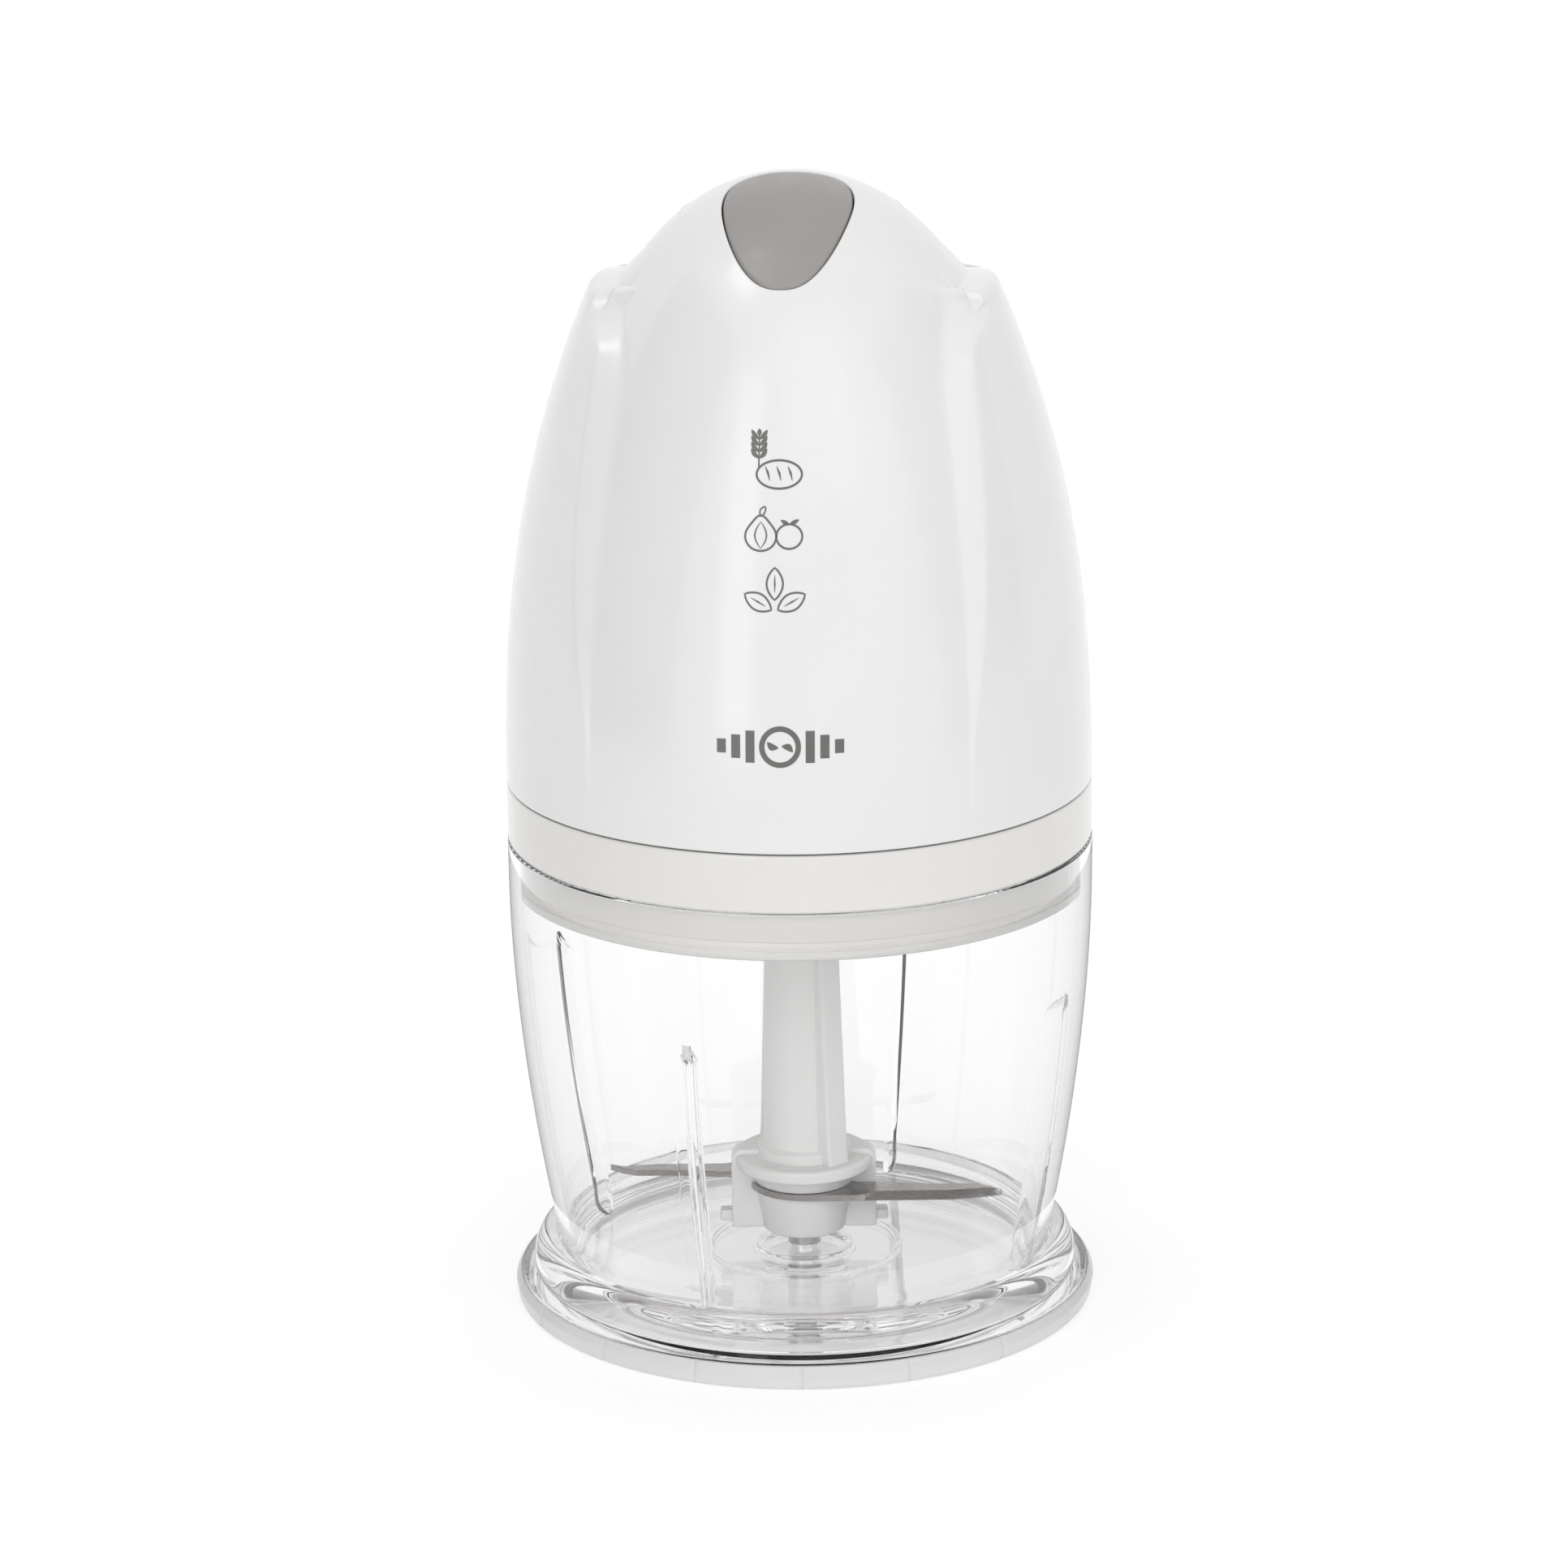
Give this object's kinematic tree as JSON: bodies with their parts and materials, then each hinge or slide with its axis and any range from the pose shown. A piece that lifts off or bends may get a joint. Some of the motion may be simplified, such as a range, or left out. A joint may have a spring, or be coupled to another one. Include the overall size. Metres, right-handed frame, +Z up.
{
  "type": "food processor",
  "caption": "Compact electric chopper: a motor head with a push button on a lidded clear bowl with a spinning blade, standing in a clear anti-slip base.",
  "frame": {"origin": "centre of the foot on the worktop, on the axis of the bowl and motor", "axes": "+Z up along the axis, front of the motor head towards -Y"},
  "size_m": [0.1164, 0.1164, 0.226],
  "materials": {
    "white_gloss": "gloss",
    "cream_plastic": "satin",
    "grey_plastic": "satin gloss",
    "clear_bowl": "clear moulded plastic",
    "clear_base": "clear moulded plastic",
    "grip_ring": "translucent soft plastic",
    "white_plastic": "satin",
    "silicone": "satin",
    "blade_steel": "ground",
    "steel": "turned",
    "dark_rubber": "matte",
    "black_plastic": "matte",
    "natural_nylon": "matte",
    "bronze": "sintered",
    "cast_alloy": "die cast",
    "fan_plastic": "matte",
    "lamination": "laminated steel",
    "copper": "enamelled wire",
    "carbon": "pressed carbon",
    "suppressor_case": "satin"
  },
  "bodies": {
    "base": {"base_lid": "clear_base", "anti_slip_ring": "grip_ring"},
    "bowl": {"bowl": "clear_bowl", "bowl_pin": "steel"},
    "blade": {"blade_hub": "white_plastic", "blade_plate": "blade_steel"},
    "lid": {"lid": "cream_plastic", "lid_seal": "silicone"},
    "head": {"upper_housing": "white_gloss", "bottom_cover": "cream_plastic", "cover_screws": "steel", "cord_gland": "dark_rubber", "button_spring": "steel", "switch_bracket": "black_plastic", "microswitch": "black_plastic", "gearbox_case": "natural_nylon", "ring_gear": "natural_nylon", "output_bush": "bronze", "output_seal": "dark_rubber", "motor_plate": "cast_alloy", "gearbox_screws": "steel", "stator_core": "lamination", "stator_coils": "copper", "upper_bracket": "cast_alloy", "lower_bearing": "bronze", "upper_bearing": "bronze", "brush_holders": "bronze", "carbon_brushes": "carbon", "motor_screws": "steel", "suppressor": "suppressor_case"},
    "button": {"push_button": "grey_plastic"},
    "switch_lever": {"switch_lever": "steel"},
    "armature": {"motor_shaft": "steel", "fan": "fan_plastic", "rotor_core": "lamination", "rotor_coils": "copper", "commutator": "copper", "sun_gear": "steel"},
    "output": {"planet_carrier": "steel", "planet_pins": "steel", "output_shaft": "steel", "drive_coupling": "black_plastic"},
    "planet_1": {"planet_gear_1": "natural_nylon"},
    "planet_2": {"planet_gear_2": "natural_nylon"},
    "planet_3": {"planet_gear_3": "natural_nylon"}
  },
  "joints": [
    {"name": "bowl_lift", "type": "slide", "parent": "base", "child": "bowl", "axis": [0, 0, 1], "range_m": [0, 0.04]},
    {"name": "lid_lift", "type": "slide", "parent": "bowl", "child": "lid", "axis": [0, 0, 1], "range_m": [0, 0.06]},
    {"name": "head_lift", "type": "slide", "parent": "lid", "child": "head", "axis": [0, 0, 1], "range_m": [0, 0.05]},
    {"name": "blade_spin", "type": "hinge", "parent": "bowl", "child": "blade", "pos_m": [0, 0, 0.02], "axis": [0, 0, 1], "continuous": true},
    {"name": "button_press", "type": "slide", "parent": "head", "child": "button", "axis": [0, 0, -1], "range_m": [0, 0.0022], "stiffness_N_per_m": 900, "springref_m": -0.004, "deforming": ["button_spring"]},
    {"name": "lever_turn", "type": "hinge", "parent": "head", "child": "switch_lever", "pos_m": [-0.0085, -0.012, 0.2069], "axis": [0, 1, 0], "range_deg": [0, 8.4]},
    {"name": "armature_spin", "type": "hinge", "parent": "head", "child": "armature", "pos_m": [0, 0, 0.15], "axis": [0, 0, 1], "continuous": true},
    {"name": "output_spin", "type": "hinge", "parent": "head", "child": "output", "pos_m": [0, 0, 0.106], "axis": [0, 0, 1], "continuous": true},
    {"name": "planet_1_spin", "type": "hinge", "parent": "output", "child": "planet_1", "pos_m": [0, 0.012, 0.112], "axis": [0, 0, 1], "continuous": true},
    {"name": "planet_2_spin", "type": "hinge", "parent": "output", "child": "planet_2", "pos_m": [-0.01039, -0.006, 0.112], "axis": [0, 0, 1], "continuous": true},
    {"name": "planet_3_spin", "type": "hinge", "parent": "output", "child": "planet_3", "pos_m": [0.01039, -0.006, 0.112], "axis": [0, 0, 1], "continuous": true}
  ],
  "couplings": [
    {"joint": "output_spin", "follows": "armature_spin", "ratio": 0.2},
    {"joint": "blade_spin", "follows": "armature_spin", "ratio": 0.2},
    {"joint": "lever_turn", "follows": "button_press", "rad_per_m": 64},
    {"joint": "planet_1_spin", "follows": "armature_spin", "ratio": -0.53333},
    {"joint": "planet_2_spin", "follows": "armature_spin", "ratio": -0.53333},
    {"joint": "planet_3_spin", "follows": "armature_spin", "ratio": -0.53333}
  ]
}
